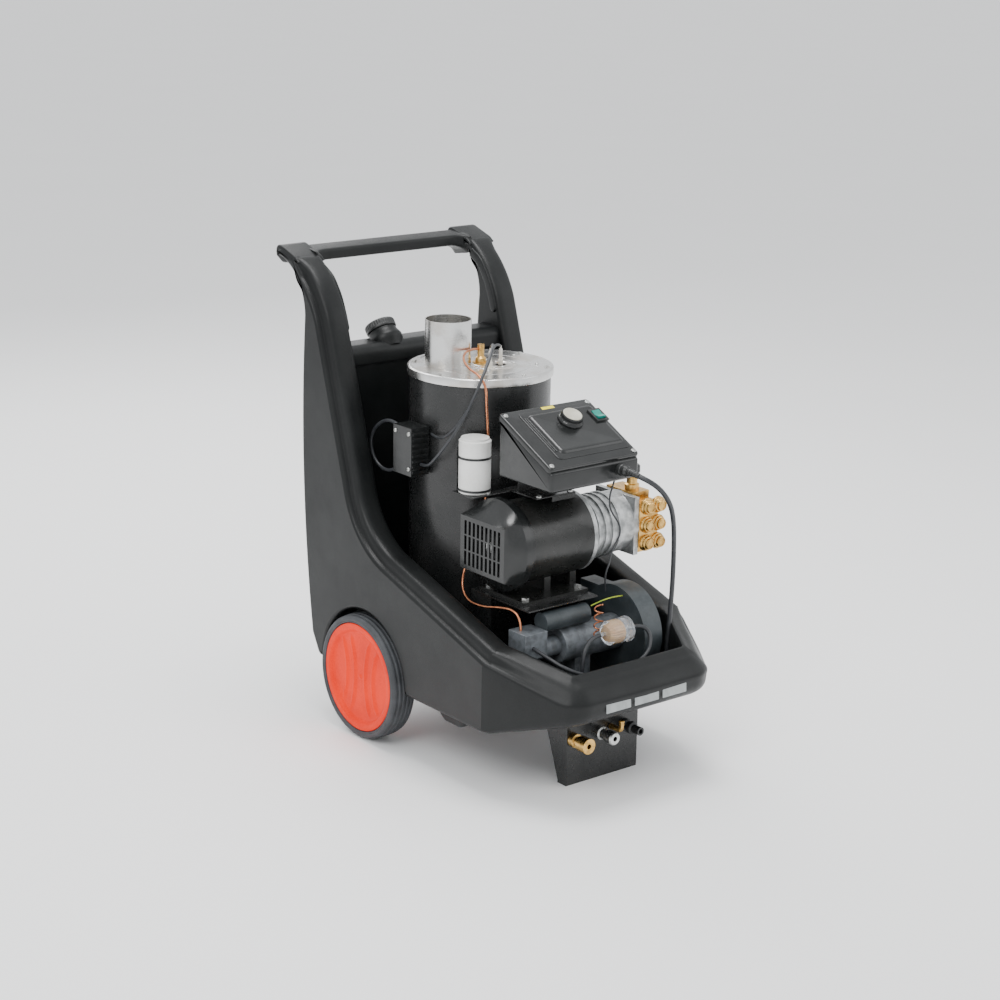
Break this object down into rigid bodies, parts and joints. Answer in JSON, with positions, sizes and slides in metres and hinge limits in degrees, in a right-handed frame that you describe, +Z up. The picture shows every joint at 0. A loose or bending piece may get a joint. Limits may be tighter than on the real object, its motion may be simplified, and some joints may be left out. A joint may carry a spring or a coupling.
{
  "type": "hot water pressure washer",
  "caption": "Wheeled hot-water pressure washer with its hood off: moulded chassis with handle arms, upright boiler, motor pump, control box and oil burner.",
  "frame": {"origin": "on the floor, under the middle of the overall length and width", "axes": "+Z up, the nose with the hose connectors towards -Y, the handle towards +Y, +X to the right seen from the front"},
  "size_m": [0.546, 0.886, 0.975],
  "materials": {
    "black_moulding": "fine grained black polyethylene",
    "orange_plastic": "satin orange plastic",
    "tyre_rubber": "matt black rubber",
    "zinc_steel": "zinc plated",
    "black_sheet": "semi-gloss black powder coat",
    "brass": "cast and turned brass",
    "black_plastic": "semi-gloss black plastic",
    "stainless": "bright stainless sheet",
    "coil_steel": "dull steel pipe",
    "burner_brass": "turned nozzle holder",
    "ceramic": "glazed white insulator",
    "white_plastic": "white canister",
    "tie_nylon": "black nylon",
    "motor_paint": "gloss black paint",
    "laminations": "bare iron",
    "cast_aluminium": "die cast",
    "knob_ivory": "ivory grey cap on a black skirt",
    "rocker_green": "translucent green",
    "dark_enamel": "dark grey",
    "grey_casting": "grey casting",
    "clear_plastic": "clear bowl with an amber element",
    "copper": "drawn copper",
    "cable_rubber": "black rubber"
  },
  "bodies": {
    "machine": {"axle": "zinc_steel", "axle_clips": "zinc_steel", "blower_housing": "dark_enamel", "boiler_lid": "stainless", "boiler_shell": "black_sheet", "box_bracket": "black_sheet", "box_screws": "zinc_steel", "bracket_bolts": "zinc_steel", "burner_capacitor": "dark_enamel", "burner_head": "burner_brass", "burner_motor": "grey_casting", "cable_gland": "black_plastic", "capacitor_ties": "tie_nylon", "chassis": "black_moulding", "chimney": "stainless", "connector_bracket": "black_sheet", "control_box_base": "black_plastic", "control_box_lid": "black_plastic", "crankcase": "cast_aluminium", "detergent_barb": "black_plastic", "end_shields": "motor_paint", "fan_cowl": "black_plastic", "filter_hose": "cable_rubber", "fuel_filter": "clear_plastic", "fuel_pump": "grey_casting", "heating_coil": "coil_steel", "ignition_electrodes": "ceramic", "ignition_lead": "cable_rubber", "ignition_transformer": "black_plastic", "lid_bolts": "zinc_steel", "motor_bearings": "zinc_steel", "motor_bolts": "zinc_steel", "motor_deck": "black_sheet", "motor_frame": "motor_paint", "nozzle_pipe": "copper", "plungers": "zinc_steel", "power_cable": "cable_rubber", "pressure_outlet": "zinc_steel", "pressure_pipe": "coil_steel", "pump_head": "brass", "run_capacitor": "white_plastic", "stator": "laminations", "suction_hose": "cable_rubber", "switch_housing": "black_plastic", "transformer_cable": "cable_rubber", "unloader_valve": "brass", "water_inlet": "brass"},
    "wheel_left": {"tyre_left": "tyre_rubber", "rim_left": "orange_plastic"},
    "wheel_right": {"tyre_right": "tyre_rubber", "rim_right": "orange_plastic"},
    "motor_rotor": {"motor_shaft": "zinc_steel", "rotor_core": "laminations", "cooling_fan": "black_plastic", "swash_plate": "laminations"},
    "burner_rotor": {"blower_impeller": "dark_enamel"},
    "knob": {"thermostat_knob": "knob_ivory"},
    "rocker": {"power_rocker": "rocker_green"},
    "cap": {"fuel_cap": "black_plastic"},
    "pressure_knob": {"unloader_knob": "black_plastic"}
  },
  "joints": [
    {"name": "wheel_left_spin", "type": "hinge", "parent": "machine", "child": "wheel_left", "pos_m": [-0.244, 0.131, 0.13], "axis": [1, 0, 0], "continuous": true},
    {"name": "wheel_right_spin", "type": "hinge", "parent": "machine", "child": "wheel_right", "pos_m": [0.244, 0.131, 0.13], "axis": [1, 0, 0], "continuous": true},
    {"name": "motor_spin", "type": "hinge", "parent": "machine", "child": "motor_rotor", "pos_m": [0, -0.144, 0.455], "axis": [1, 0, 0], "continuous": true},
    {"name": "burner_spin", "type": "hinge", "parent": "machine", "child": "burner_rotor", "pos_m": [0.1, -0.24, 0.263], "axis": [1, 0, 0], "continuous": true},
    {"name": "thermostat_turn", "type": "hinge", "parent": "machine", "child": "knob", "pos_m": [0.01, -0.18675, 0.69318], "axis": [0, -0.4427, 0.8967], "range_deg": [-270, 0]},
    {"name": "power_switch", "type": "hinge", "parent": "machine", "child": "rocker", "pos_m": [0.081, -0.18763, 0.69497], "axis": [1, 0, 0], "range_deg": [0, 16]},
    {"name": "fuel_cap_lift", "type": "slide", "parent": "machine", "child": "cap", "axis": [0, 0.6157, 0.788], "range_m": [0, 0.06]},
    {"name": "pressure_set", "type": "hinge", "parent": "machine", "child": "pressure_knob", "pos_m": [0.206, -0.156, 0.56], "axis": [0, 0, 1], "range_deg": [0, 300]}
  ]
}
